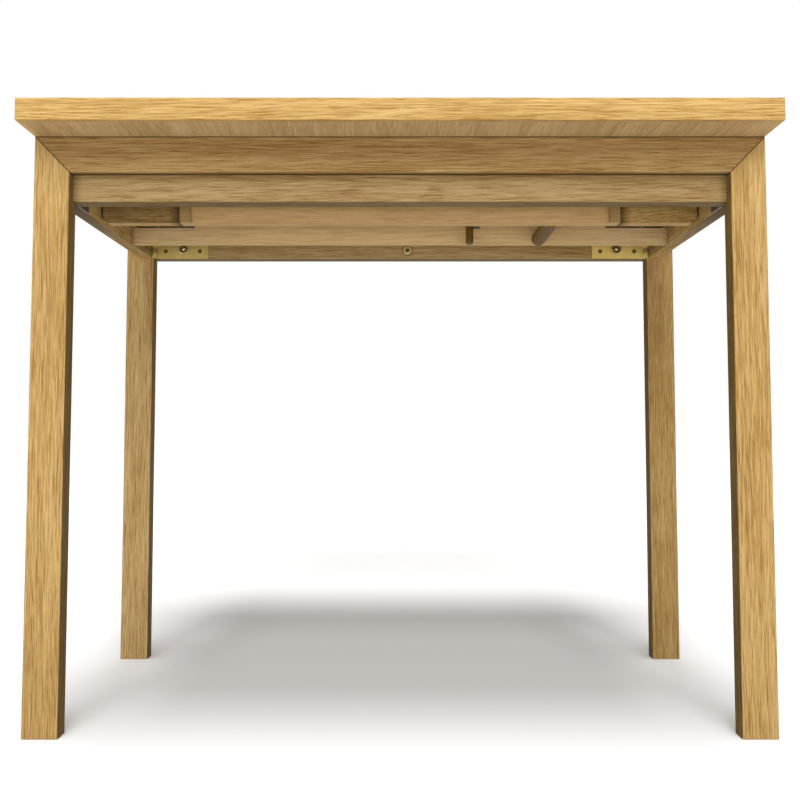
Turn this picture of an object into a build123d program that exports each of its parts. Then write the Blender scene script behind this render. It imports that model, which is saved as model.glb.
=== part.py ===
from build123d import *
import math
import os

# Drop leaf table in oak, with a fixed top, one rear leaf and two pull-out leaf slides.
# Millimetres, +Z up. The origin is on the floor, midway across the width and midway
# from the front edge of the top to the rear edge of the raised leaf.
# Depths named "..._y" are measured back from the front edge of the top.

# Overall sizes
width = 908.4
height = 762.0
top_thickness = 27.0
top_depth = 421.3
leaf_gap = 0.6
leaf_depth = 269.7
band = 5.0                  # solid edge band around the veneered panels
soft_edge = 1.0             # radius of the eased edges
depth = top_depth + leaf_gap + leaf_depth
under_top = height - top_thickness

# Legs and their mitred rails
leg_width = 43.7
leg_thickness = 19.7
overhang = 47.6             # top beyond the legs, front and rear
rail_height = 45.0
leg_inner = width / 2 - leg_width
rail_bottom = under_top - rail_height
front_leg_y = overhang
rear_leg_y = top_depth - overhang - leg_thickness
spline_thickness = 4.0
spline_length = 40.0
spline_width = 16.0

# Aprons
apron_height = 79.0
apron_bottom = under_top - apron_height
front_apron_y = front_leg_y + 11.5
front_apron_back = 78.7
back_apron_y = rear_leg_y + 2.0
side_apron_inner = 413.5
side_apron_thickness = 18.6
side_apron_mid = side_apron_inner + side_apron_thickness / 2

# Cross rails, their end boards and guide blocks
cross_front_y = 150.0
cross_front_thickness = 14.0
cross_front_back = cross_front_y + cross_front_thickness
cross_rear_y = 266.0
cross_rear_thickness = 9.0
cross_rear_back = cross_rear_y + cross_rear_thickness
cross_rear_bottom = apron_bottom + 1.5
cross_split = 303.0         # where the front cross rail meets its end boards
end_board_gap = 1.5
end_board_chamfer = 9.0
guide_block_width = 14.5
guide_block_depth = 5.0
notch_inner = 317.0         # inner end of the notches in the rear cross rail
notch_top = 682.5

# Leaf slides: a steel bar on a wooden carrier, with the runner and guides
slide_inner = 330.0
slide_width = 44.0
slide_clearance = 0.5
slide_front_y = 84.0
carrier_length = 98.0
runner_thickness = 17.5
runner_inner = notch_inner + 1.0
runner_top = rail_bottom + runner_thickness
slide_bottom = runner_top + slide_clearance
guide_top = 714.0
guide_width = 11.5
bar_thickness = 2.8
bar_width = 30.0
bar_front_y = slide_front_y + 16.0
bar_proud = 14.0            # how far a bar stands out of the rear rail, to be gripped
bar_lip = 9.0
bar_bottom = under_top - slide_clearance - bar_thickness
bar_inner = slide_inner + (slide_width - bar_width) / 2
stop_radius = 4.0
stop_y = 91.0
stop_z = 720.0
stop_tip = 306.0

# Leaf hinges
hinge_centres = (-415.0, 0.0, 415.0)
hinge_width = 60.0
plate_thickness = 2.0
knuckle_radius = 3.0
hinge_pin_radius = 1.5
hinge_pin_clearance = 0.05
hinge_axis_y = top_depth + leaf_gap / 2
hinge_axis_z = under_top - 3.4
plate_far = 37.6            # from the hinge line to the far edge of a plate
plate_near = 3.6            # from the hinge line to a plate, between its knuckles
knuckle_gap = 0.3

# Screws, for every plate
screw_radius = 1.6
screw_head_radius = 3.4
screw_point = 3.0
screw_length = 15.0
screw_slot = 0.8
slot_depth = 0.6
hinge_screw_dx = 21.0       # the outer screws of a hinge plate, from its middle
hinge_screw_near = 13.0     # screws' distances from the hinge line
hinge_screw_far = 29.0
runner_screw_length = 22.0
runner_screw_ys = (110.0, 215.0, 286.0)
bar_screw_ys = (112.0, 170.0)
button_screw_length = 32.0

# Fixed corner hinges, centre bolt, stop pin and tie dowel
corner_low = 657.0
corner_high = 680.5
corner_plate_inner = 320.0
corner_plate_outer = 409.0
corner_barrel_x = 408.0
corner_barrel_y = 350.5
corner_barrel_radius = 4.5
corner_pin_radius = 2.0
corner_side_leaf_y = 280.0
corner_screw_xs = (333.5, 390.2)
corner_screw_ys = (294.0, 326.0)
corner_screw_z = 668.7
bracket_low = 657.0
bracket_high = 675.0
bracket_end_y = 108.0
bracket_end_x = 388.0
bracket_screw_x = 398.0
bracket_screw_y = 99.0
bracket_screw_z = 666.0
bracket_screw_length = 10.0
boss_x = 360.0
boss_z = 672.0
boss_radius = 8.5
boss_shank_radius = 3.0
cup_height = 3.0
cup_floor = 0.6
cup_bore = 6.3
cup_soft_edge = 1.2
dome_radius = 3.6
bolt_x = 12.3
bolt_z = 671.0
bolt_radius = 7.3
bolt_seat_radius = 9.2
bolt_seat_depth = 2.0
bolt_socket_radius = 3.4
bolt_socket_floor = 1.0
bolt_shank_radius = 3.0
bolt_head = 3.5
bolt_length = 12.0
pin_x = 105.3
pin_y = 245.0
pin_radius = 5.9
pin_length = 68.0
pin_bottom = apron_bottom - 4.0
pin_bore = 3.6
pin_chamfer = 0.8
pin_bore_depth = 4.0
pin_block_half = 18.0
pin_block_bottom = 697.0
tab_bottom = 676.0
tab_thickness = 2.0
tab_half_width = 3.0
tab_reach = 9.5             # how far the tab stands out of the stop pin
tie_x = 213.8
tie_z = 665.6
tie_radius = 10.7
tenon_radius = 5.0
tenon_length = 6.0          # how far the tie dowel's ends are let into the cross rails

# Top buttons and frame dowels
button_xs = (-150.0, 0.0, 150.0)
button_width = 30.0
button_length = 26.0
button_height = 16.0
tongue_depth = 5.5
tongue_height = 7.0
dowel_radius = 4.0
thin_dowel_radius = 3.0
dowel_half = 15.0
side_dowel_zs = (666.0, 724.0)
cross_dowel_z = 681.0
rear_dowel_y = 364.8
past = 1.0                  # how far a cutter runs past the face it cuts

os.makedirs("parts", exist_ok=True)
sides = {"left": -1, "right": 1}
# Turns that bring +Z onto each direction
turns = {"x": (0, 90, 0), "-x": (0, -90, 0), "y": (-90, 0, 0), "-y": (90, 0, 0),
         "z": (0, 0, 0), "-z": (180, 0, 0)}


def row_y(y):
    """Turns a depth behind the front edge of the top into a coordinate of the part."""
    return y - depth / 2


def board(x0, x1, y0, y1, z0, z1):
    """A square-edged board between two corners, with y as a depth."""
    low_x, high_x = min(x0, x1), max(x0, x1)
    middle = ((low_x + high_x) / 2, row_y((y0 + y1) / 2), (z0 + z1) / 2)
    return Pos(*middle) * Box(high_x - low_x, y1 - y0, z1 - z0)


def eased(solid, axis, radius=soft_edge):
    """Rounds the edges of a board that run along one axis."""
    return fillet(solid.edges().filter_by(axis), radius)


def slab_xz(points, y0, y1):
    """An outline in X and Z, extruded from depth y0 to depth y1."""
    face = make_face(Polyline(*points, close=True))
    return extrude(Plane.XZ.offset(-row_y(y0)) * face, amount=-(y1 - y0))


def slab_xy(points, z0, z1):
    """An outline in X and depth, extruded from z0 to z1."""
    face = make_face(Polyline(*[(x, row_y(y)) for x, y in points], close=True))
    return extrude(Plane.XY.offset(z0) * face, amount=z1 - z0)


def rod(x, y, z, radius, length, axis):
    """A round rod that starts at a point and runs along one axis."""
    start = Pos(x, row_y(y), z) * Rot(*turns[axis])
    return start * extrude(Circle(radius), amount=length)


def countersink(x, y, z, axis, length=screw_length, slot=True):
    """A countersunk wood screw, with its head flush at a point and its shank along an axis."""
    depth_of_head = screw_head_radius - screw_radius
    outline = Polyline((0, 0), (screw_head_radius, 0), (screw_radius, depth_of_head),
                       (screw_radius, length - screw_point), (0, length), close=True)
    screw = revolve(Plane.XZ * make_face(outline), Axis.Z)
    if slot:
        screw = screw - Box(3 * screw_head_radius, screw_slot, 2 * slot_depth)
    return Pos(x, row_y(y), z) * Rot(*turns[axis]) * screw


def group(solids):
    """Several separate solids that share one node."""
    return Compound(children=[s for solid in solids for s in solid.solids()])


def save(shape, name):
    shape.label = name
    export_step(shape, "parts/" + name + ".step")


# ---------------------------------------------------------------- screws and their places

def hinge_screw_places(near_side):
    """Three screws in each leaf hinge plate, as places in X and depth."""
    triangle = ((-hinge_screw_dx, hinge_screw_near), (0.0, hinge_screw_far),
                (hinge_screw_dx, hinge_screw_near))
    return [(centre + dx, hinge_axis_y + near_side * dy)
            for centre in hinge_centres for dx, dy in triangle]


def leaf_hinge_screws(near_side):
    head_z = under_top - plate_thickness
    return [countersink(x, y, head_z, "z") for x, y in hinge_screw_places(near_side)]


def leaf_hinge_holes(near_side):
    head_z = under_top - plate_thickness
    return [countersink(x, y, head_z, "z", slot=False)
            for x, y in hinge_screw_places(near_side)]


def corner_screws(side, slot=True):
    """Screws of a corner hinge, two through each leaf."""
    back_face = back_apron_y - plate_thickness
    side_face = side * (side_apron_inner - plate_thickness)
    out = "x" if side > 0 else "-x"
    screws = [countersink(side * x, back_face, corner_screw_z, "y", slot=slot)
              for x in corner_screw_xs]
    screws += [countersink(side_face, y, corner_screw_z, out, slot=slot)
               for y in corner_screw_ys]
    return screws


def bracket_screws(side, slot=True):
    """Screws of a steel corner bracket, one through each arm."""
    out = "x" if side > 0 else "-x"
    face = side * (side_apron_inner - plate_thickness)
    along = front_apron_back + plate_thickness
    return [countersink(face, bracket_screw_y, bracket_screw_z, out, slot=slot),
            countersink(side * bracket_screw_x, along, bracket_screw_z, "-y",
                        bracket_screw_length, slot=slot)]


def runner_screws(side, slot=True):
    """Screws up through each slide runner into the outer guide."""
    middle = side * (slide_inner + slide_width + slide_clearance + guide_width / 2)
    return [countersink(middle, y, rail_bottom, "z", runner_screw_length, slot=slot)
            for y in runner_screw_ys]


def bar_screws(side, slot=True):
    """Screws down through each steel bar into its carrier."""
    middle = side * (slide_inner + slide_width / 2)
    return [countersink(middle, y, bar_bottom + bar_thickness, "-z", slot=slot)
            for y in bar_screw_ys]


def button_places():
    """Top buttons, as X and the depth of the cross rail face that each one hooks into."""
    return [(x, y) for y in (cross_front_back, cross_rear_back) for x in button_xs]


# ---------------------------------------------------------------- frame

def mitre_cutter(side, keep_leg):
    """Everything on one side of the mitre between a leg and its rail."""
    inner = (side * leg_inner, rail_bottom)
    outer = (side * width / 2, under_top)
    reach = 10.0
    slope = (under_top - rail_bottom) / leg_width
    low = (side * (leg_inner - reach), rail_bottom - reach * slope)
    high = (side * (width / 2 + reach), under_top + reach * slope)
    if keep_leg:
        corner = (side * (leg_inner - reach), high[1])
        return [low, inner, outer, high, corner]
    corner = (side * (width / 2 + reach), low[1])
    return [low, inner, outer, high, corner]


def mitre_spline(side, y_mid):
    """A loose tongue across the mitre, in the middle of the leg's thickness."""
    middle_x = side * (leg_inner + leg_width / 2)
    middle_z = rail_bottom + rail_height / 2
    angle = math.degrees(math.atan2(rail_height, leg_width))
    turned = Rot(0, -side * angle, 0)
    place = Pos(middle_x, row_y(y_mid), middle_z)
    return place * turned * Box(spline_length, spline_thickness, spline_width)


def side_dowels(side, at_front):
    """Two dowels between a side apron and a leg frame."""
    y = front_leg_y + leg_thickness if at_front else rear_leg_y
    return [rod(side * side_apron_mid, y - dowel_half, z, dowel_radius, 2 * dowel_half, "y")
            for z in side_dowel_zs]


def cross_dowel(side, at_front):
    """One dowel between the front or back apron and a leg, along X."""
    y = (front_apron_y + front_leg_y + leg_thickness) / 2 if at_front else rear_dowel_y
    radius = thin_dowel_radius if at_front else dowel_radius
    start = side * leg_inner - dowel_half
    return rod(start, y, cross_dowel_z, radius, 2 * dowel_half, "x")


def leg(side, at_front):
    y = front_leg_y if at_front else rear_leg_y
    post = board(side * leg_inner, side * width / 2, y, y + leg_thickness, 0, under_top)
    post = eased(post, Axis.Z)
    post = post - slab_xz(mitre_cutter(side, True), y - past, y + leg_thickness + past)
    post = post - mitre_spline(side, y + leg_thickness / 2)
    for peg in side_dowels(side, at_front) + [cross_dowel(side, at_front)]:
        post = post - peg
    return post


def rail(at_front):
    y = front_leg_y if at_front else rear_leg_y
    bar = board(-width / 2, width / 2, y, y + leg_thickness, rail_bottom, under_top)
    bar = eased(bar, Axis.X)
    for side in sides.values():
        bar = bar - slab_xz(mitre_cutter(side, False), y - past, y + leg_thickness + past)
        bar = bar - mitre_spline(side, y + leg_thickness / 2)
        for peg in side_dowels(side, at_front):
            bar = bar - peg
        if not at_front:
            low = bar_inner - slide_clearance
            high = bar_inner + bar_width + slide_clearance
            bar = bar - board(side * low, side * high, y - past, y + leg_thickness + past,
                              bar_bottom - slide_clearance, under_top + past)
    return bar


def front_apron():
    legs_back = front_leg_y + leg_thickness
    lower = board(-leg_inner, leg_inner, front_apron_y, legs_back, apron_bottom, rail_bottom)
    behind = board(-side_apron_inner, side_apron_inner, legs_back, front_apron_back,
                   apron_bottom, under_top)
    apron = lower + behind
    low_front = apron.edges().filter_by(Axis.X).group_by(Axis.Z)[0].sort_by(Axis.Y)[0]
    apron = fillet(low_front, soft_edge)
    for side in sides.values():
        apron = apron - cross_dowel(side, True)
        for screw in bracket_screws(side, slot=False):
            apron = apron - screw
    return apron


def back_apron():
    back = rear_leg_y + leg_thickness
    apron = board(-leg_inner, leg_inner, back_apron_y, back, apron_bottom, rail_bottom)
    apron = fillet(apron.edges().filter_by(Axis.X).group_by(Axis.Z)[0], soft_edge)
    for side in sides.values():
        apron = apron - cross_dowel(side, False)
        for screw in corner_screws(side, slot=False):
            apron = apron - screw
        apron = apron - boss(side)
    seat = back_apron_y + bolt_seat_depth
    apron = apron - rod(bolt_x, back_apron_y, bolt_z, bolt_seat_radius, bolt_seat_depth, "y")
    return apron - rod(bolt_x, seat, bolt_z, bolt_shank_radius, bolt_length, "y")


def side_apron(side):
    legs_back = front_leg_y + leg_thickness
    outer = side_apron_inner + side_apron_thickness
    apron = board(side * side_apron_inner, side * outer, legs_back, rear_leg_y,
                  apron_bottom, under_top)
    apron = fillet(apron.edges().filter_by(Axis.Y).group_by(Axis.Z)[0], soft_edge)
    for at_front in (True, False):
        for peg in side_dowels(side, at_front):
            apron = apron - peg
    for screw in corner_screws(side, slot=False) + bracket_screws(side, slot=False):
        apron = apron - screw
    return apron


# ---------------------------------------------------------------- cross rails

def tongue_slot(x, face_y):
    """The slot that a top button's tongue hooks into."""
    low = under_top - button_height
    return board(x - button_width / 2 - past, x + button_width / 2 + past,
                 face_y - tongue_depth, face_y, low, low + tongue_height)


def tie_tenon():
    start = cross_front_back - tenon_length
    length = cross_rear_y + tenon_length - start
    return rod(tie_x, start, tie_z, tenon_radius, length, "y")


def tie_dowel():
    """A thick dowel between the cross rails, with a thinner tenon at each end."""
    gap = cross_rear_y - cross_front_back
    return rod(tie_x, cross_front_back, tie_z, tie_radius, gap, "y") + tie_tenon()


def cross_rail_front():
    rail_a = board(-cross_split, cross_split, cross_front_y, cross_front_back,
                   apron_bottom, under_top)
    rail_a = rail_a - tie_tenon()
    for x in button_xs:
        rail_a = rail_a - tongue_slot(x, cross_front_back)
    return rail_a


def cross_rail_rear():
    rail_b = board(-side_apron_inner, side_apron_inner, cross_rear_y, cross_rear_back,
                   cross_rear_bottom, under_top)
    for side in sides.values():
        outer = side_apron_inner + past
        rail_b = rail_b - board(side * notch_inner, side * outer, cross_rear_y - past,
                                cross_rear_back + past, notch_top, under_top + past)
    rail_b = rail_b - tie_tenon()
    for x in button_xs:
        rail_b = rail_b - tongue_slot(x, cross_rear_back)
    return rail_b


def end_board(side):
    """The short board that carries the front cross rail out to the side apron."""
    outer = side * (side_apron_inner - end_board_gap)
    corner = side * (side_apron_inner - end_board_gap - end_board_chamfer)
    points = [(side * cross_split, apron_bottom), (corner, apron_bottom),
              (outer, apron_bottom + end_board_chamfer), (outer, rail_bottom),
              (side * cross_split, rail_bottom)]
    return slab_xz(points, cross_front_y, cross_front_back)


def guide_block(side):
    inner = cross_split - guide_block_width
    block = board(side * inner, side * cross_split, cross_front_y - guide_block_depth,
                  cross_front_y, apron_bottom, under_top)
    return block


# ---------------------------------------------------------------- slides

def slide_runner(side):
    ledge = board(side * runner_inner, side * side_apron_inner, front_apron_back, rear_leg_y,
                  rail_bottom, runner_top)
    for screw in runner_screws(side, slot=False):
        ledge = ledge - screw
    return ledge


def slide_guide(side, outer):
    inner = slide_inner + slide_width + slide_clearance if outer else runner_inner
    strip = board(side * inner, side * (inner + guide_width), front_apron_back, rear_leg_y,
                  runner_top, guide_top)
    if outer:
        for screw in runner_screws(side, slot=False):
            strip = strip - screw
    return strip


def carrier(side):
    """The wooden block that runs between the guides and carries the steel bar."""
    block = board(side * slide_inner, side * (slide_inner + slide_width), slide_front_y,
                  slide_front_y + carrier_length, slide_bottom, bar_bottom)
    block = eased(block, Axis.Y) - slide_stop(side)
    for screw in bar_screws(side, slot=False):
        block = block - screw
    return block


def slide_bar(side):
    """The flat steel bar that slides out under the leaf, with a turned-down lip to pull."""
    back = rear_leg_y + leg_thickness + bar_proud
    outer = bar_inner + bar_width
    flat = board(side * bar_inner, side * outer, bar_front_y, back, bar_bottom,
                 bar_bottom + bar_thickness)
    lip = board(side * bar_inner, side * outer, back - bar_thickness, back,
                bar_bottom - bar_lip, bar_bottom)
    bar = flat + lip
    bar = fillet(bar.edges().filter_by(Axis.X).group_by(Axis.Y)[-1].sort_by(Axis.Z)[-1], 2.0)
    for screw in bar_screws(side, slot=False):
        bar = bar - screw
    return bar


def slide_stop(side):
    axis = "x" if side > 0 else "-x"
    length = slide_inner + 20.0 - stop_tip
    return rod(side * stop_tip, stop_y, stop_z, stop_radius, length, axis)


# ---------------------------------------------------------------- top and leaf

def panel(y0, y1):
    inner = width / 2 - band
    return board(-inner, inner, y0 + band, y1 - band, under_top, height)


def edge_bands(y0, y1):
    """Four bands mitred round a panel, as front, rear, left and right."""
    outer = width / 2
    inner = outer - band
    outlines = {
        "front": [(-outer, y0), (outer, y0), (inner, y0 + band), (-inner, y0 + band)],
        "rear": [(-outer, y1), (-inner, y1 - band), (inner, y1 - band), (outer, y1)],
        "left": [(-outer, y0), (-inner, y0 + band), (-inner, y1 - band), (-outer, y1)],
        "right": [(outer, y0), (outer, y1), (inner, y1 - band), (inner, y0 + band)],
    }
    whole = board(-outer, outer, y0, y1, under_top, height)
    whole = eased(whole, Axis.X)
    whole = whole - panel(y0, y1)
    return {name: whole & slab_xy(points, under_top - past, height + past)
            for name, points in outlines.items()}


def button(x, face_y):
    low = under_top - button_height
    body = board(x - button_width / 2, x + button_width / 2, face_y, face_y + button_length,
                 low, under_top)
    tongue = board(x - button_width / 2, x + button_width / 2, face_y - tongue_depth, face_y,
                   low, low + tongue_height)
    return body + tongue - button_screw(x, face_y, slot=False)


def button_screw(x, face_y, slot=True):
    low = under_top - button_height
    return countersink(x, face_y + button_length * 0.6, low, "z", button_screw_length,
                       slot=slot)


# ---------------------------------------------------------------- leaf hinges

def leaf_hinge_plate(centre, near_side, knuckles, bore):
    """A hinge plate let onto the underside, with its share of the knuckles."""
    left = centre - hinge_width / 2
    low = under_top - plate_thickness
    near = hinge_axis_y + near_side * plate_near
    far = hinge_axis_y + near_side * plate_far
    plate = board(left, left + hinge_width, min(near, far), max(near, far), low, under_top)
    corners = plate.edges().filter_by(Axis.Z)
    plate = fillet(corners, 1.5)
    for start, length in knuckles:
        x = left + start
        web = board(x, x + length, min(hinge_axis_y, near), max(hinge_axis_y, near),
                    low, under_top)
        ring = rod(x, hinge_axis_y, hinge_axis_z, knuckle_radius, length, "x")
        plate = plate + web + ring
        plate = plate - rod(x - past, hinge_axis_y, hinge_axis_z, bore, length + 2 * past, "x")
    for hole in leaf_hinge_holes(near_side):
        plate = plate - hole
    return plate


def leaf_hinge_plates(near_side, bore):
    """Fixed plates carry the two outer knuckles, and leaf plates the long middle one."""
    third = hinge_width / 3
    outer_pair = [(0.0, third - knuckle_gap), (2 * third + knuckle_gap, third - knuckle_gap)]
    middle = [(third, third)]
    knuckles = outer_pair if near_side < 0 else middle
    return [leaf_hinge_plate(centre, near_side, knuckles, bore) for centre in hinge_centres]


def leaf_hinge_pins():
    return [rod(centre - hinge_width / 2, hinge_axis_y, hinge_axis_z, hinge_pin_radius,
                hinge_width, "x") for centre in hinge_centres]


# ---------------------------------------------------------------- fixed corner hinges

def corner_knuckle(side, index):
    pitch = (corner_high - corner_low + knuckle_gap) / 3
    low = corner_low + index * pitch
    ring = rod(side * corner_barrel_x, corner_barrel_y, low, corner_barrel_radius,
               pitch - knuckle_gap, "z")
    return ring - corner_pin(side)


def corner_pin(side):
    return rod(side * corner_barrel_x, corner_barrel_y, corner_low, corner_pin_radius,
               corner_high - corner_low, "z")


def corner_relief(side, index):
    """Clears one leaf away from the other leaf's knuckle."""
    pitch = (corner_high - corner_low + knuckle_gap) / 3
    low = corner_low + index * pitch - knuckle_gap
    return rod(side * corner_barrel_x, corner_barrel_y, low, corner_barrel_radius + 0.3,
               pitch + knuckle_gap, "z")


def boss(side):
    """A cup washer with a domed bolt through it, on the back apron's leaf."""
    face = back_apron_y - plate_thickness
    seat = face - cup_floor
    cup = rod(side * boss_x, face, boss_z, boss_radius, cup_height, "-y")
    cup = fillet(cup.edges().sort_by(Axis.Y)[0], cup_soft_edge)
    cup = cup - rod(side * boss_x, seat, boss_z, cup_bore, cup_height, "-y")
    dome = Pos(side * boss_x, row_y(seat), boss_z) * Sphere(dome_radius)
    reach = boss_radius
    dome = dome - board(side * boss_x - reach, side * boss_x + reach, seat, seat + reach,
                        boss_z - reach, boss_z + reach)
    shank = rod(side * boss_x, seat, boss_z, boss_shank_radius, bolt_length, "y")
    return cup + dome + shank


def corner_apron_leaf(side):
    leaf = board(side * corner_plate_inner, side * corner_plate_outer,
                 back_apron_y - plate_thickness, back_apron_y, corner_low, corner_high)
    leaf = leaf - corner_relief(side, 1)
    for index in (0, 2):
        leaf = leaf + corner_knuckle(side, index)
    for screw in corner_screws(side, slot=False):
        leaf = leaf - screw
    return leaf - boss(side)


def corner_side_leaf(side):
    leaf = board(side * (side_apron_inner - plate_thickness), side * side_apron_inner,
                 corner_side_leaf_y, corner_barrel_y, corner_low, corner_high)
    leaf = leaf - corner_relief(side, 0) - corner_relief(side, 2)
    leaf = leaf + corner_knuckle(side, 1)
    for screw in corner_screws(side, slot=False):
        leaf = leaf - screw
    return leaf


# ---------------------------------------------------------------- small hardware

def centre_bolt():
    """A brass bolt sunk into the back apron, with a round socket in its head."""
    seat = back_apron_y + bolt_seat_depth
    head = rod(bolt_x, seat, bolt_z, bolt_radius, bolt_head, "-y")
    head = fillet(head.edges().sort_by(Axis.Y)[0], soft_edge)
    floor = seat - bolt_socket_floor
    head = head - rod(bolt_x, floor, bolt_z, bolt_socket_radius, bolt_head, "-y")
    return head + rod(bolt_x, seat, bolt_z, bolt_shank_radius, bolt_length, "y")


def stop_pin():
    """A brass pin, bored at its lower end, that hangs from its block in front of the rear cross rail."""
    pin = rod(pin_x, pin_y, pin_bottom, pin_radius, pin_length, "z")
    pin = chamfer(pin.edges().sort_by(Axis.Z)[0], pin_chamfer)
    return pin - rod(pin_x, pin_y, pin_bottom, pin_bore, pin_bore_depth, "z")


def pin_block():
    half = pin_block_half
    block = board(pin_x - half, pin_x + half, pin_y - half, pin_y + half, pin_block_bottom,
                  under_top)
    return block - stop_pin()


def pin_tab():
    """A small steel tab through the stop pin."""
    end = pin_x + pin_radius + tab_reach
    tab = board(pin_x, end, pin_y - tab_half_width, pin_y + tab_half_width, tab_bottom,
                tab_bottom + tab_thickness)
    return tab - stop_pin()


def corner_bracket(side):
    """An angle of steel in a front inside corner, under the slide runner."""
    along = board(side * (side_apron_inner - plate_thickness), side * side_apron_inner,
                  front_apron_back, bracket_end_y, bracket_low, bracket_high)
    across = board(side * bracket_end_x, side * side_apron_inner, front_apron_back,
                   front_apron_back + plate_thickness, bracket_low, bracket_high)
    bracket = along + across
    for screw in bracket_screws(side, slot=False):
        bracket = bracket - screw
    return bracket


# ---------------------------------------------------------------- write every node

for side_name, side in sides.items():
    save(leg(side, True), "front_" + side_name + "_leg")
    save(leg(side, False), "rear_" + side_name + "_leg")
    save(side_apron(side), side_name + "_side_apron")
    save(end_board(side), side_name + "_end_board")
    save(guide_block(side), side_name + "_guide_block")
    save(slide_runner(side), side_name + "_slide_runner")
    save(group([slide_guide(side, False), slide_guide(side, True)]),
         side_name + "_slide_guides")
    save(carrier(side), side_name + "_slide_carrier")
    save(slide_bar(side), side_name + "_slide_bar")
    save(slide_stop(side), side_name + "_slide_stop")
    save(group(bar_screws(side)), side_name + "_slide_screws")
    save(corner_apron_leaf(side), side_name + "_corner_hinge_apron_leaf")
    save(corner_side_leaf(side), side_name + "_corner_hinge_side_leaf")

save(rail(True), "front_rail")
save(rail(False), "rear_rail")
save(front_apron(), "front_apron")
save(back_apron(), "back_apron")
save(cross_rail_front(), "cross_rail_front")
save(cross_rail_rear(), "cross_rail_rear")
save(tie_dowel(), "tie_dowel")
save(stop_pin(), "stop_pin")
save(pin_block(), "pin_block")
save(pin_tab(), "pin_tab")
save(centre_bolt(), "centre_bolt")

pairs = [(side, at_front) for side in sides.values() for at_front in (True, False)]
splines = [mitre_spline(side, (front_leg_y if at_front else rear_leg_y) + leg_thickness / 2)
           for side, at_front in pairs]
save(group(splines), "mitre_splines")
pegs = [peg for side, at_front in pairs
        for peg in side_dowels(side, at_front) + [cross_dowel(side, at_front)]]
save(group(pegs), "frame_dowels")

top_board = panel(0, top_depth)
for hole in leaf_hinge_holes(-1) + [button_screw(x, y, slot=False) for x, y in button_places()]:
    top_board = top_board - hole
save(top_board, "top_panel")
for name, piece in edge_bands(0, top_depth).items():
    save(piece, "top_" + name + "_band")
save(group([button(x, y) for x, y in button_places()]), "top_buttons")
save(group([button_screw(x, y) for x, y in button_places()]), "top_button_screws")

leaf_start = top_depth + leaf_gap
leaf_board = panel(leaf_start, depth)
for hole in leaf_hinge_holes(1):
    leaf_board = leaf_board - hole
save(leaf_board, "leaf_panel")
for name, piece in edge_bands(leaf_start, depth).items():
    save(piece, "leaf_" + name + "_band")

free_bore = hinge_pin_radius + hinge_pin_clearance
save(group(leaf_hinge_plates(-1, hinge_pin_radius)), "leaf_hinge_top_plates")
save(group(leaf_hinge_plates(1, free_bore)), "leaf_hinge_leaf_plates")
save(group(leaf_hinge_pins()), "leaf_hinge_pins")
save(group(leaf_hinge_screws(-1)), "leaf_hinge_top_screws")
save(group(leaf_hinge_screws(1)), "leaf_hinge_leaf_screws")
both = list(sides.values())
fixed = [screw for side in both
         for screw in corner_screws(side) + bracket_screws(side) + runner_screws(side)]
save(group(fixed), "frame_screws")
save(group([corner_pin(side) for side in both]), "corner_hinge_pins")
save(group([boss(side) for side in both]), "corner_hinge_bolts")
save(group([corner_bracket(side) for side in both]), "corner_brackets")
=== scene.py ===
import math

import bpy
from mathutils import Euler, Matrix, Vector


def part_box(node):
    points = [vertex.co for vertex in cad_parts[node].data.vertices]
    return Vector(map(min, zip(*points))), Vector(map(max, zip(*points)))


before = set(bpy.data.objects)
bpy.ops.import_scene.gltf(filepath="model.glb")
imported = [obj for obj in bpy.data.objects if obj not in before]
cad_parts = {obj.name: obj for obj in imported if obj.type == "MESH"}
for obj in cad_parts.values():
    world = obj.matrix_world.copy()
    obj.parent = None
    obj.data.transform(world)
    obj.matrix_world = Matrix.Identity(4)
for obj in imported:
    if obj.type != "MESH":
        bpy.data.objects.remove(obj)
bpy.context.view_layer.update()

# Places are in metres, in the frame's own coordinates. Grain sizes and what is named _mm are in mm.
MM = 0.001
FRONT_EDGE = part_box("top_front_band")[0][1]      # y of the front edge of the top
REAR_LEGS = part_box("rear_left_leg")[0][1]        # y of the rear legs' front faces
FRONT_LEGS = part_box("front_left_leg")[1][1]      # y of the front legs' rear faces
SIDES = (("left", -1), ("right", 1))


# ------------------------------------------------------------------ node helpers

def new_material(name):
    """An empty node material with one Principled shader."""
    material = bpy.data.materials.new(name)
    material.use_nodes = True
    nodes = material.node_tree.nodes
    nodes.clear()
    output = nodes.new("ShaderNodeOutputMaterial")
    shader = nodes.new("ShaderNodeBsdfPrincipled")
    material.node_tree.links.new(shader.outputs[0], output.inputs[0])
    return material, shader


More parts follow.
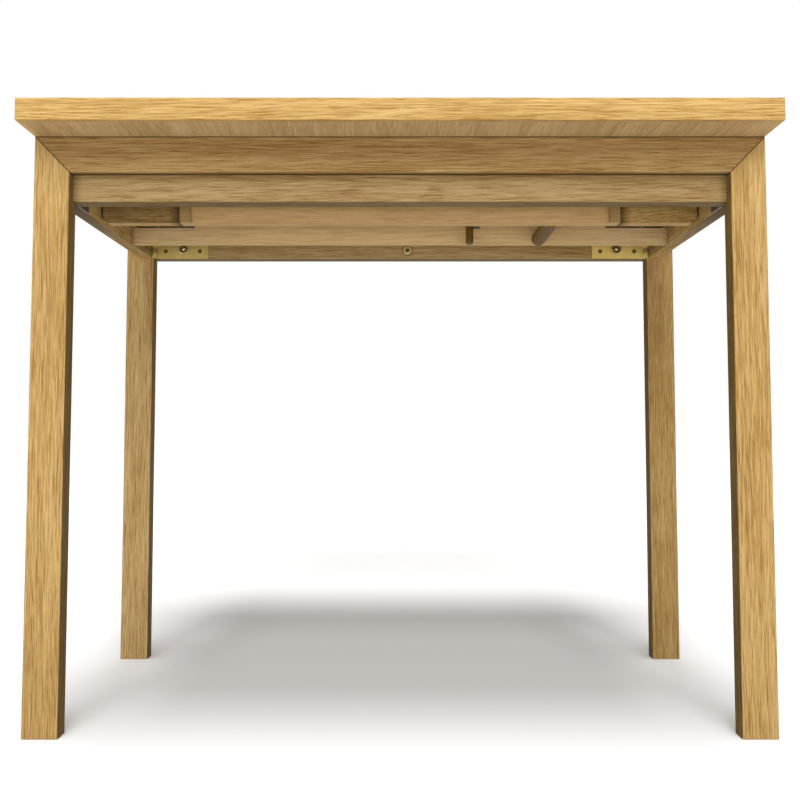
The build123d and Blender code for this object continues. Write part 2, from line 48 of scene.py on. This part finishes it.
class Graph:
    """Short names for the nodes that the materials are made of."""

    def __init__(self, tree):
        self.tree = tree

    def node(self, kind, **settings):
        made = self.tree.nodes.new(kind)
        for key, value in settings.items():
            setattr(made, key, value)
        return made

    def link(self, source, target):
        self.tree.links.new(source, target)

    def feed(self, socket, value):
        if isinstance(value, bpy.types.NodeSocket):
            self.link(value, socket)
        elif socket.type == "RGBA":
            socket.default_value = (*value, 1.0)
        else:
            socket.default_value = value

    def math(self, operation, *values, clamp=False):
        made = self.node("ShaderNodeMath", operation=operation, use_clamp=clamp)
        for socket, value in zip(made.inputs, values):
            self.feed(socket, value)
        return made.outputs[0]

    def total(self, *terms):
        """Adds up values, each one given as a value and its weight."""
        amount = 0.0
        for value, weight in terms:
            amount = self.math("MULTIPLY_ADD", value, weight, amount)
        return amount

    def stretched(self, vector, size):
        """Divides a vector by a size in each direction, so that noise of scale 1 has that grain size."""
        made = self.node("ShaderNodeVectorMath", operation="DIVIDE")
        self.link(vector, made.inputs[0])
        made.inputs[1].default_value = size
        return made.outputs[0]

    def noise(self, vector, size, detail=2.0, roughness=0.5, offset=0.0):
        made = self.node("ShaderNodeTexNoise", noise_dimensions="4D")
        self.link(self.stretched(vector, size), made.inputs["Vector"])
        made.inputs["W"].default_value = offset
        made.inputs["Scale"].default_value = 1.0
        made.inputs["Detail"].default_value = detail
        made.inputs["Roughness"].default_value = roughness
        return made.outputs[0]

    def ramp(self, factor, stops, interpolation="LINEAR"):
        made = self.node("ShaderNodeValToRGB")
        made.color_ramp.interpolation = interpolation
        elements = made.color_ramp.elements
        while len(elements) < len(stops):
            elements.new(0.5)
        for element, (position, colour) in zip(elements, stops):
            element.position = position
            element.color = (*colour, 1.0)
        self.link(factor, made.inputs[0])
        return made.outputs[0]

    def level(self, factor, low, high):
        """Maps a value from low..high to 0..1, and clamps it."""
        made = self.node("ShaderNodeMapRange", clamp=True)
        self.link(factor, made.inputs["Value"])
        made.inputs["From Min"].default_value = low
        made.inputs["From Max"].default_value = high
        return made.outputs[0]

    def blend(self, factor, a, b, mode="MIX"):
        """Mixes two colours."""
        made = self.node("ShaderNodeMix", data_type="RGBA", blend_type=mode)
        self.feed(made.inputs["Factor"], factor)
        colours = [socket for socket in made.inputs if socket.type == "RGBA"]
        self.feed(colours[0], a)
        self.feed(colours[1], b)
        return [socket for socket in made.outputs if socket.type == "RGBA"][0]


# ------------------------------------------------------------------ wood

# The order in which a board's axes are read, so that its grain comes first.
SWIZZLE = {"X": (0, 1, 2), "Y": (1, 0, 2), "Z": (2, 0, 1)}
WOOD_GLOSS = 0.06
BUMP_STRENGTH = 0.6
# The dark of the joint lines and of the painted shade where boards meet.
JOINT_AND_SHADE_DARK = (0.04, 0.024, 0.010)
SHADE_CAST = (1.0, 0.97, 0.82)                   # painted shade is a little warmer than the board
# How much each kind of mark lightens or darkens the wood, where it is strongest.
STREAK, SHEEN, FIBRE, EARLY, FLECK = -0.55, 0.26, 0.16, -0.12, -0.5
RARE_MARKS = -0.10                               # what early wood and flecks take off on average


def grain_group(name, dark, middle, light, pore, contrast, ring_mm, sway_mm=26.0,
                drifting=0.3):
    """Solid oak in millimetres, with the grain along X and the heart of the tree on the X axis."""
    tree = bpy.data.node_groups.new(name, "ShaderNodeTree")
    tree.interface.new_socket("Vector", in_out="INPUT", socket_type="NodeSocketVector")
    tree.interface.new_socket("Color", in_out="OUTPUT", socket_type="NodeSocketColor")
    tree.interface.new_socket("Roughness", in_out="OUTPUT", socket_type="NodeSocketFloat")
    tree.interface.new_socket("Height", in_out="OUTPUT", socket_type="NodeSocketFloat")
    g = Graph(tree)
    entry = g.node("NodeGroupInput")
    leave = g.node("NodeGroupOutput")
    place = entry.outputs[0]

    # The growth rings wander slowly along the board.
    sway_y = g.math("MULTIPLY", g.noise(place, (260, 38, 38), 2.0, offset=1.7), sway_mm)
    sway_z = g.math("MULTIPLY", g.noise(place, (220, 34, 34), 2.0, offset=8.3), sway_mm)
    across = g.node("ShaderNodeSeparateXYZ")
    g.link(place, across.inputs[0])
    y = g.math("ADD", across.outputs[1], sway_y)
    z = g.math("ADD", across.outputs[2], sway_z)
    radius = g.math("SQRT", g.math("ADD", g.math("MULTIPLY", y, y), g.math("MULTIPLY", z, z)))
    uneven = g.math("MULTIPLY", g.noise(place, (90, 9, 9), 2.0, offset=4.1), 1.6)
    rings = g.math("FRACT", g.math("ADD", g.math("DIVIDE", radius, ring_mm), uneven))
    early = g.ramp(rings, [(0.0, (1, 1, 1)), (0.25, (0.7, 0.7, 0.7)), (0.6, (0.12, 0.12, 0.12)),
                           (0.9, (0, 0, 0)), (1.0, (0.8, 0.8, 0.8))], "EASE")

    # Streaks both ways from the middle tone, fine fibres, slow drifts, and short dark flecks.
    streak = g.level(g.noise(place, (38, 0.85, 0.85), 2.0, 0.5, 2.2), 0.37, 0.63)
    sheen = g.level(g.noise(place, (90, 1.8, 1.8), 2.0, 0.5, 7.7), 0.35, 0.65)
    fibre = g.level(g.noise(place, (12, 0.5, 0.5), 2.0, 0.6, 6.0), 0.3, 0.7)
    drift = g.level(g.noise(place, (260, 18, 18), 2.0, 0.5, 3.3), 0.3, 0.7)
    fleck = g.level(g.noise(place, (28, 0.7, 0.7), 2.0, 0.5, 5.1), 0.55, 0.62)
    crowd = g.math("MULTIPLY_ADD", early, 0.7, 0.3)
    flecks = g.math("MULTIPLY", fleck, crowd)
    marks = ((streak, STREAK), (sheen, SHEEN), (fibre, FIBRE), (drift, drifting), (early, EARLY),
             (flecks, FLECK))
    tone = g.total(*[(value, weight * contrast) for value, weight in marks])
    mean = 0.5 * (STREAK + SHEEN + FIBRE + drifting) + RARE_MARKS
    tone = g.math("ADD", tone, 0.5 - mean * contrast, clamp=True)
    colour = g.ramp(tone, [(0.0, dark), (0.5, middle), (1.0, light)])

    # Open pores, most of them in the early wood.
    dashes = g.level(g.noise(place, (5.0, 0.3, 0.3), 1.0, 0.5, 9.4), 0.6, 0.7)
    pores = g.math("MULTIPLY", dashes, g.math("MULTIPLY_ADD", early, 0.8, 0.2))
    colour = g.blend(g.math("MULTIPLY", pores, 0.6), colour, pore)
    g.link(colour, leave.inputs["Color"])
    g.link(g.total((fibre, 0.08), (pores, 0.15), (1.0, 0.44)), leave.inputs["Roughness"])
    g.link(g.total((fibre, 0.3), (flecks, -0.6), (pores, -1.0)), leave.inputs["Height"])
    return tree


def joint_lines_and_shade(g, colour, planes):
    """Paints a board darker where it meets its neighbour in a plane: dark joint lines and painted shade.
    The shapes have no gap there.
    """
    place = g.node("ShaderNodeTexCoord").outputs["Object"]
    for point, normal, (full, none, amount) in planes:
        offset = g.node("ShaderNodeVectorMath", operation="SUBTRACT")
        g.link(place, offset.inputs[0])
        offset.inputs[1].default_value = point
        reach = g.node("ShaderNodeVectorMath", operation="DOT_PRODUCT")
        g.link(offset.outputs[0], reach.inputs[0])
        reach.inputs[1].default_value = normal
        near = g.math("ABSOLUTE", reach.outputs["Value"])
        line = g.math("SUBTRACT", 1.0, g.level(near, full * MM, none * MM))
        colour = g.blend(g.math("MULTIPLY", line, amount), colour, JOINT_AND_SHADE_DARK)
    return colour


def shaded_faces(g, colour, faces):
    """Paints the faces that point one way darker: the front view's shade, not the wood's colour."""
    normal = g.node("ShaderNodeSeparateXYZ")
    g.link(g.node("ShaderNodeTexCoord").outputs["Normal"], normal.inputs[0])
    for axis, sign, amount, *fade in faces:
        along = normal.outputs["XYZ".index(axis)]
        mask = g.level(g.math("MULTIPLY", along, sign), 0.4, 0.9)
        if fade:
            place = g.node("ShaderNodeSeparateXYZ")
            g.link(g.node("ShaderNodeTexCoord").outputs["Object"], place.inputs[0])
            mask = g.math("MULTIPLY", mask, g.level(place.outputs[1], *fade))
        left = 1.0 - amount
        shaded = g.blend(1.0, colour, [left * cast for cast in SHADE_CAST], "MULTIPLY")
        colour = g.blend(mask, colour, shaded)
    return colour


def wood(node, group, along, heart, tilt, tone, faces, planes, bump_mm=0.05):
    """One board's wood, with its fitted tone, painted shade and joint lines, whose heart lies at a place
    in mm from the board's middle.
    """
    material, shader = new_material("wood_" + node)
    g = Graph(material.node_tree)
    low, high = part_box(node)
    order = SWIZZLE[along]
    middle = Vector([(low[i] + high[i]) / 2 / MM for i in order])
    turn = Euler((0.0, math.radians(tilt[0]), math.radians(tilt[1])))
    coordinates = g.node("ShaderNodeTexCoord")
    parts = g.node("ShaderNodeSeparateXYZ")
    g.link(coordinates.outputs["Object"], parts.inputs[0])
    ordered = g.node("ShaderNodeCombineXYZ")
    for place, source in enumerate(order):
        g.link(parts.outputs[source], ordered.inputs[place])
    mapping = g.node("ShaderNodeMapping", vector_type="POINT")
    g.link(ordered.outputs[0], mapping.inputs["Vector"])
    mapping.inputs["Scale"].default_value = (1 / MM, 1 / MM, 1 / MM)
    mapping.inputs["Rotation"].default_value = turn
    mapping.inputs["Location"].default_value = Vector(heart) - turn.to_matrix() @ middle
    grain = g.node("ShaderNodeGroup", node_tree=group)
    g.link(mapping.outputs[0], grain.inputs[0])
    colour = g.blend(1.0, grain.outputs["Color"], tone, "MULTIPLY")
    colour = joint_lines_and_shade(g, shaded_faces(g, colour, faces), planes)
    g.link(colour, shader.inputs["Base Color"])
    g.link(grain.outputs["Roughness"], shader.inputs["Roughness"])
    bump = g.node("ShaderNodeBump")
    bump.inputs["Strength"].default_value = BUMP_STRENGTH
    bump.inputs["Distance"].default_value = bump_mm * MM
    g.link(grain.outputs["Height"], bump.inputs["Height"])
    g.link(bump.outputs[0], shader.inputs["Normal"])
    shader.inputs["Specular IOR Level"].default_value = WOOD_GLOSS
    return material


# ------------------------------------------------------------------ metals

# The colour of the painted shade in a bolt's recess.
RECESS_SHADE = (0.05, 0.032, 0.012)


def behind(node, start_mm, end_mm):
    """Two places behind a node's foremost point, as values of y."""
    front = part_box(node)[0][1]
    return front + start_mm * MM, front + end_mm * MM


def metal(name, base, worn, roughness, grain_mm, metallic=1.0, recess=None):
    """Brushed metal with dull patches and fine scratches, and painted shade in a recess."""
    material, shader = new_material(name)
    g = Graph(material.node_tree)
    place = g.node("ShaderNodeTexCoord").outputs["Object"]
    mm_place = g.stretched(place, (MM, MM, MM))
    brushed = g.noise(mm_place, grain_mm, 3.0, 0.6)
    patches = g.level(g.noise(mm_place, (14, 14, 14), 3.0, 0.55, 5.0), 0.35, 0.7)
    colour = g.blend(g.math("MULTIPLY", patches, 0.55), base, worn)
    colour = g.blend(g.math("MULTIPLY", g.level(brushed, 0.3, 0.75), 0.3), colour, worn)
    if recess:
        # Painted shade, darkening what lies deeper than the recess's front.
        depth = g.node("ShaderNodeSeparateXYZ")
        g.link(place, depth.inputs[0])
        colour = g.blend(g.math("MULTIPLY", g.level(depth.outputs[1], *recess), 0.85), colour, RECESS_SHADE)
    g.link(colour, shader.inputs["Base Color"])
    rough = g.math("ADD", g.math("MULTIPLY", brushed, 0.14), g.math("MULTIPLY", patches, 0.12))
    g.link(g.math("ADD", rough, roughness - 0.1), shader.inputs["Roughness"])
    bump = g.node("ShaderNodeBump")
    bump.inputs["Strength"].default_value = 0.4
    bump.inputs["Distance"].default_value = 0.02 * MM
    g.link(brushed, bump.inputs["Height"])
    g.link(bump.outputs[0], shader.inputs["Normal"])
    shader.inputs["Metallic"].default_value = metallic
    return material


# ------------------------------------------------------------------ dress the nodes

OAK = grain_group("oak", dark=(0.36, 0.19, 0.056), middle=(0.57, 0.375, 0.152),
                  light=(0.74, 0.525, 0.25), pore=(0.24, 0.115, 0.03), contrast=1.2, ring_mm=3.4)
VENEER = grain_group("veneer", dark=(0.36, 0.22, 0.085), middle=(0.55, 0.37, 0.17),
                     light=(0.70, 0.50, 0.26), pore=(0.26, 0.15, 0.06), contrast=0.75, ring_mm=2.9,
                     drifting=0.5)
PALE = grain_group("pale", dark=(0.46, 0.27, 0.11), middle=(0.68, 0.455, 0.195),
                   light=(0.82, 0.58, 0.27), pore=(0.34, 0.20, 0.08), contrast=0.65, ring_mm=4.2)

# Each board's timber, the way its grain runs, its heart in mm, and how its grain tilts in degrees.
BOARDS = {
    "front_left_leg": (OAK, "Z", (300, 70, 55), (0.5, 0.4)),
    "front_right_leg": (OAK, "Z", (900, -64, 60), (-0.4, 0.5)),
    "rear_left_leg": (OAK, "Z", (1600, 58, -66), (0.4, -0.4)),
    "rear_right_leg": (OAK, "Z", (2300, -72, -50), (-0.6, 0.3)),
    "front_rail": (OAK, "X", (400, 62, 48), (0.5, 0.3)),
    "rear_rail": (OAK, "X", (1500, -60, 52), (-0.4, 0.5)),
    "front_apron": (OAK, "X", (2600, 54, 12), (0.9, 0.6)),
    "back_apron": (OAK, "X", (3500, -66, 40), (0.4, -0.5)),
    "left_side_apron": (OAK, "Y", (700, 60, 30), (0.5, 0.5)),
    "right_side_apron": (OAK, "Y", (1400, -60, 34), (0.5, -0.5)),
    "cross_rail_front": (PALE, "X", (500, 70, 30), (0.4, 0.4)),
    "cross_rail_rear": (PALE, "X", (1900, 64, -36), (0.5, 0.2)),
    "left_end_board": (OAK, "X", (5200, 60, 20), (1.5, 3.0)),
    "right_end_board": (OAK, "X", (6100, 60, 24), (1.5, -3.0)),
    "left_guide_block": (PALE, "Z", (300, 40, 40), (0.5, 0.5)),
    "right_guide_block": (PALE, "Z", (800, 44, -40), (0.5, 0.5)),
    "left_slide_runner": (PALE, "Y", (300, 50, 40), (0.5, 0.5)),
    "right_slide_runner": (PALE, "Y", (900, 50, -40), (0.5, 0.5)),
    "left_slide_guides": (PALE, "Y", (1300, 40, 40), (0.5, 0.5)),
    "right_slide_guides": (PALE, "Y", (1700, 40, -40), (0.5, 0.5)),
    "left_slide_carrier": (PALE, "Y", (3300, 60, 44), (0.5, 0.4)),
    "right_slide_carrier": (PALE, "Y", (3900, -60, 44), (0.5, 0.4)),
    "left_slide_stop": (PALE, "X", (100, 20, 10), (0.5, 0.4)),
    "right_slide_stop": (PALE, "X", (600, 20, 10), (0.5, 0.4)),
    "pin_block": (PALE, "X", (100, 50, 30), (0.5, 0.4)),
    "top_buttons": (OAK, "Y", (700, 50, 30), (0.5, 0.4)),
    "tie_dowel": (PALE, "Y", (500, 30, 22), (0.5, 0.4)),
    "frame_dowels": (PALE, "Y", (1100, 30, 22), (0.5, 0.4)),
    "mitre_splines": (PALE, "X", (1100, 30, 22), (0.5, 0.4)),
    "top_panel": (VENEER, "Y", (300, 90, 140), (0.5, 2.2)),
    "leaf_panel": (VENEER, "Y", (800, 90, 140), (0.5, 2.2)),
    "top_front_band": (OAK, "X", (4400, 66, 56), (0.4, 0.3)),
    "top_rear_band": (OAK, "X", (7700, 60, 50), (0.4, 0.3)),
    "top_left_band": (OAK, "Y", (400, 60, 50), (0.5, 0.4)),
    "top_right_band": (OAK, "Y", (1200, -60, 50), (0.5, 0.4)),
    "leaf_front_band": (OAK, "X", (8800, 60, 52), (0.4, 0.3)),
    "leaf_rear_band": (OAK, "X", (9900, 64, 48), (0.4, 0.4)),
    "leaf_left_band": (OAK, "Y", (2200, 60, 50), (0.5, 0.4)),
    "leaf_right_band": (OAK, "Y", (3100, -60, 50), (0.5, 0.4)),
}

# A tone for each board, fitted to how the table looks in the front view. It holds some of that
# view's light as well as the wood's own colour.
TONES = {
    "front_rail": (0.65, 0.61, 0.54),
    "rear_rail": (0.85, 0.80, 0.72),
    "front_apron": (0.645, 0.635, 0.63),
    "back_apron": (0.69, 0.71, 0.69),
    "front_left_leg": (0.92, 0.88, 0.75),
    "front_right_leg": (0.92, 0.88, 0.75),
    "rear_left_leg": (0.93, 0.93, 0.91),
    "rear_right_leg": (0.80, 0.765, 0.66),
    "left_guide_block": (0.62, 0.60, 0.55),
    "right_guide_block": (0.62, 0.60, 0.55),
    "tie_dowel": (0.245, 0.21, 0.10),
    "left_side_apron": (0.89, 0.86, 0.75),
    "right_side_apron": (0.89, 0.86, 0.75),
    "cross_rail_front": (0.955, 0.93, 0.945),
    "cross_rail_rear": (1.02, 1.075, 1.21),
}
for edge in ("front", "rear", "left", "right"):
    TONES["top_%s_band" % edge] = (1.0, 0.94, 0.76)
    TONES["leaf_%s_band" % edge] = (1.0, 0.94, 0.76)
TONES["top_rear_band"] = TONES["leaf_front_band"] = (0.94, 0.95, 1.0)

# Faces with painted shade, darker than the rest of their board, fitted in the same way: the axis, its
# sign, how much, and, where the shade fades, the y where it ends and the y where it is full.
UNDER, FRONT = ("Z", -1), ("Y", -1)
FACES = {
    "front_apron": [(*UNDER, 0.45)],
    "back_apron": [(*UNDER, 0.5)],
    "left_side_apron": [(*UNDER, 0.88, REAR_LEGS, FRONT_LEGS)],
    "right_side_apron": [(*UNDER, 0.88, REAR_LEGS, FRONT_LEGS)],
    "left_slide_runner": [(*UNDER, 0.85)],
    "right_slide_runner": [(*UNDER, 0.85)],
    "cross_rail_front": [(*UNDER, 0.1)],
    "cross_rail_rear": [(*UNDER, 0.1)],
    "left_end_board": [(*FRONT, 0.44)],
    "right_end_board": [(*FRONT, 0.14)],
}


def mitre_plane(leg, rail, side):
    """The plane between a leg and its rail, from the rail's inner low corner to the outer top one."""
    low_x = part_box(leg)[0 if side > 0 else 1][0]
    high_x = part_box(leg)[1 if side > 0 else 0][0]
    low_z, high_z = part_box(rail)[0][2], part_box(rail)[1][2]
    along = Vector((high_x - low_x, 0.0, high_z - low_z)).normalized()
    return (low_x, 0.0, low_z), (along.z, 0.0, -along.x)


# Painted joint lines and shade where a board meets its neighbour: where the dark is full, where
# it ends (both in mm from the plane) and how much.
THIN = (0.35, 0.95, 0.85)
WIDE = (0.7, 2.2, 0.9)
# The seam look is a painted shadow line on the front rail's underside, along the front apron.
SEAM_SHADOW = (3.0, 7.5, 0.95)
SHADE = (0.0, 14.0, 0.45)
LIGHT_SHADE = (0.0, 10.0, 0.25)
DEEP_SHADE = (1.0, 17.0, 0.85)


def end_planes(node, *looks):
    """Planes at both ends of a board that runs along X."""
    low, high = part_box(node)
    return [((x, 0, 0), (1, 0, 0), look) for x in (low[0], high[0]) for look in looks]


apron_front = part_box("front_apron")[0][1]
PLANES = {
    "front_apron": end_planes("front_apron", WIDE, SHADE),
    "cross_rail_rear": end_planes("cross_rail_rear", THIN, LIGHT_SHADE),
}
for side_name, side in SIDES:
    board = side_name + "_end_board"
    inner_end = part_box(board)[0 if side > 0 else 1][0]
    outer_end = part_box(board)[1 if side > 0 else 0][0]
    PLANES[board] = [((inner_end, 0, 0), (1, 0, 0), DEEP_SHADE),
                     ((outer_end, 0, 0), (1, 0, 0), WIDE)]
for end in ("front", "rear"):
    rail = end + "_rail"
    rail_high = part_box(rail)[1]
    PLANES[rail] = [((0, 0, rail_high[2]), (0, 0, 1), WIDE)]
    for side_name, side in SIDES:
        leg = "%s_%s_leg" % (end, side_name)
        # Painted shade on each leg's inner face.
        FACES[leg] = [("X", -side, 0.59)]
        mitre = mitre_plane(leg, rail, side)
        PLANES[leg] = [(*mitre, THIN)]
        PLANES[rail].append((*mitre, THIN))
# Painted shadow line on the front rail's underside where it meets the front apron.
PLANES["front_rail"].append(((0, apron_front, 0), (0, 1, 0), SEAM_SHADOW))

# Each metal and the nodes that wear it.
METALS = {
    metal("dark_brass", (0.30, 0.19, 0.045), (0.18, 0.11, 0.03), 0.32, (0.4, 0.4, 8), 0.85): [
        "stop_pin"],
    metal("bolt_brass", (0.95, 0.80, 0.36), (0.60, 0.46, 0.16), 0.24, (3, 3, 3), 0.6,
          behind("centre_bolt", 0.7, 2.2)): ["centre_bolt"],
    metal("boss_brass", (0.92, 0.76, 0.32), (0.55, 0.42, 0.15), 0.24, (3, 3, 3), 0.6,
          behind("corner_hinge_bolts", 1.5, 2.8)): ["corner_hinge_bolts"],
    metal("bright_brass", (0.88, 0.72, 0.30), (0.50, 0.38, 0.13), 0.24, (3, 3, 3), 0.7): [
        "corner_hinge_pins"],
    metal("brass", (0.88, 0.68, 0.22), (0.62, 0.45, 0.13), 0.40, (8, 0.4, 0.4), 0.45): [
        "leaf_hinge_top_plates", "leaf_hinge_leaf_plates", "leaf_hinge_pins",
        "left_corner_hinge_apron_leaf"],
    # A lighter, less metallic copy of the brass for the right apron leaf, fitted to how that leaf looks in
    # the front view: painted light.
    metal("lit_brass", (0.93, 0.70, 0.21), (0.85, 0.61, 0.17), 0.42, (8, 0.4, 0.4), 0.2): [
        "right_corner_hinge_apron_leaf"],
    # A darker copy of the brass, as painted shade, for the side leaves, which sit in shade on the side
    # aprons' inner faces.
    metal("shaded_brass", (0.46, 0.34, 0.13), (0.30, 0.21, 0.07), 0.45, (0.4, 8, 0.4), 0.6): [
        "left_corner_hinge_side_leaf", "right_corner_hinge_side_leaf"],
    metal("blued_steel", (0.18, 0.18, 0.19), (0.10, 0.10, 0.108), 0.42, (6, 0.5, 0.5), 0.8): [
        "pin_tab", "corner_brackets", "left_slide_bar", "right_slide_bar"],
    metal("screw_steel", (0.26, 0.21, 0.11), (0.14, 0.11, 0.06), 0.4, (0.4, 0.4, 5)): [
        "top_button_screws", "leaf_hinge_top_screws", "leaf_hinge_leaf_screws",
        "frame_screws", "left_slide_screws", "right_slide_screws"],
}


def dress(node, material):
    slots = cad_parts[node].data.materials
    slots.clear()
    slots.append(material)


for node, (group, along, heart, tilt) in BOARDS.items():
    tone = TONES.get(node, (1.0, 1.0, 1.0))
    dress(node, wood(node, group, along, heart, tilt, tone, FACES.get(node, ()), PLANES.get(node, ())))
for material, names in METALS.items():
    for node in names:
        dress(node, material)


# ------------------------------------------------------------------ stage, light, camera

GLOW_START, GLOW_FULL = 1.1, 3.0                 # from the middle of the table
FLOOR_GAP = 0.0004                               # keeps the feet's soles off the floor
CAMERA_LENS = 32.3
CAMERA_HEIGHT = 0.3663
CAMERA_AWAY = 0.8293                             # in front of the top's front edge
CAMERA_TILT = 2.636                              # degrees up


def stage_floor(shown, thrown, glow):
    """A white floor, far wider than any view, which throws less light back up than it shows.

    Far from the table it glows a little, so that it runs into the white surroundings.
    """
    half = 40.0                                  # half the floor's width
    mesh = bpy.data.meshes.new("floor")
    corners = [(-half, -half, 0), (half, -half, 0), (half, half, 0), (-half, half, 0)]
    mesh.from_pydata(corners, [], [(0, 1, 2, 3)])
    floor = bpy.data.objects.new("floor", mesh)
    bpy.context.scene.collection.objects.link(floor)
    material, shader = new_material("floor")
    g = Graph(material.node_tree)
    seen = g.node("ShaderNodeLightPath").outputs["Is Camera Ray"]
    g.link(g.blend(seen, (thrown,) * 3, (shown,) * 3), shader.inputs["Base Color"])
    reach = g.node("ShaderNodeVectorMath", operation="LENGTH")
    g.link(g.node("ShaderNodeTexCoord").outputs["Object"], reach.inputs[0])
    far = g.level(reach.outputs["Value"], GLOW_START, GLOW_FULL)
    g.link(g.blend(far, (0.0, 0.0, 0.0), (glow,) * 3), shader.inputs["Emission Color"])
    shader.inputs["Emission Strength"].default_value = 1.0
    shader.inputs["Roughness"].default_value = 1.0
    shader.inputs["Specular IOR Level"].default_value = 0.0
    mesh.materials.append(material)
    floor.location.z = -FLOOR_GAP


def world_light(seen, strength):
    """White to the camera and to glossy rays that leave the scene, and a dimmer light on the table."""
    world = bpy.data.worlds.new("studio")
    world.use_nodes = True
    tree = world.node_tree
    g = Graph(tree)
    background = tree.nodes["Background"]
    path = g.node("ShaderNodeLightPath")
    amount = g.math("MULTIPLY", path.outputs["Is Camera Ray"], seen - strength)
    g.link(g.math("ADD", amount, strength), background.inputs["Strength"])
    background.inputs["Color"].default_value = (1.0, 1.0, 1.0, 1.0)
    bpy.context.scene.world = world


def softbox(name, place, target, size, watts):
    """A rectangular soft light aimed at a point."""
    light = bpy.data.lights.new(name, "AREA")
    light.shape = "RECTANGLE"
    light.size = size[0]
    light.size_y = size[1]
    light.energy = watts
    holder = bpy.data.objects.new(name, light)
    holder.location = place
    aim = Vector(target) - Vector(place)
    holder.rotation_euler = aim.to_track_quat("-Z", "Y").to_euler()
    holder.visible_camera = False
    bpy.context.scene.collection.objects.link(holder)


def overhead(tilt_deg, spread_deg, strength):
    """A distant broad light from above and a little in front, which draws the soft shadow."""
    light = bpy.data.lights.new("overhead", "SUN")
    light.energy = strength
    light.angle = math.radians(spread_deg)
    holder = bpy.data.objects.new("overhead", light)
    holder.rotation_euler = (math.radians(tilt_deg), 0.0, 0.0)
    bpy.context.scene.collection.objects.link(holder)


def photo_camera():
    """Low, in front of the table, looking a little up."""
    camera = bpy.data.cameras.new("camera")
    camera.lens = CAMERA_LENS
    camera.sensor_width = 36.0
    camera.clip_start = 0.01
    holder = bpy.data.objects.new("camera", camera)
    holder.location = (0.0, FRONT_EDGE - CAMERA_AWAY, CAMERA_HEIGHT)
    holder.rotation_euler = (math.radians(90.0 + CAMERA_TILT), 0.0, 0.0)
    bpy.context.scene.collection.objects.link(holder)
    bpy.context.scene.camera = holder


stage_floor(shown=0.84, thrown=0.5, glow=0.35)
world_light(seen=1.0, strength=0.10)
overhead(tilt_deg=5.5, spread_deg=24.0, strength=2.7)
softbox("front_floor", (0.0, -2.2, 0.12), (0.0, 0.0, 0.72), (4.0, 0.3), 10.5)
softbox("front_high", (0.0, -3.6, 3.4), (0.0, 0.0, 0.5), (3.5, 2.8), 145.0)
softbox("back", (0.0, 3.8, 4.2), (0.0, 0.0, 0.6), (3.0, 2.0), 45.0)
for name, side in SIDES:
    softbox(name, (3.6 * side, 0.3, 2.2), (0.0, 0.1, 0.4), (2.4, 2.4), 6.0)
photo_camera()
bpy.context.scene.view_settings.view_transform = "Standard"
bpy.context.scene.view_settings.look = "None"
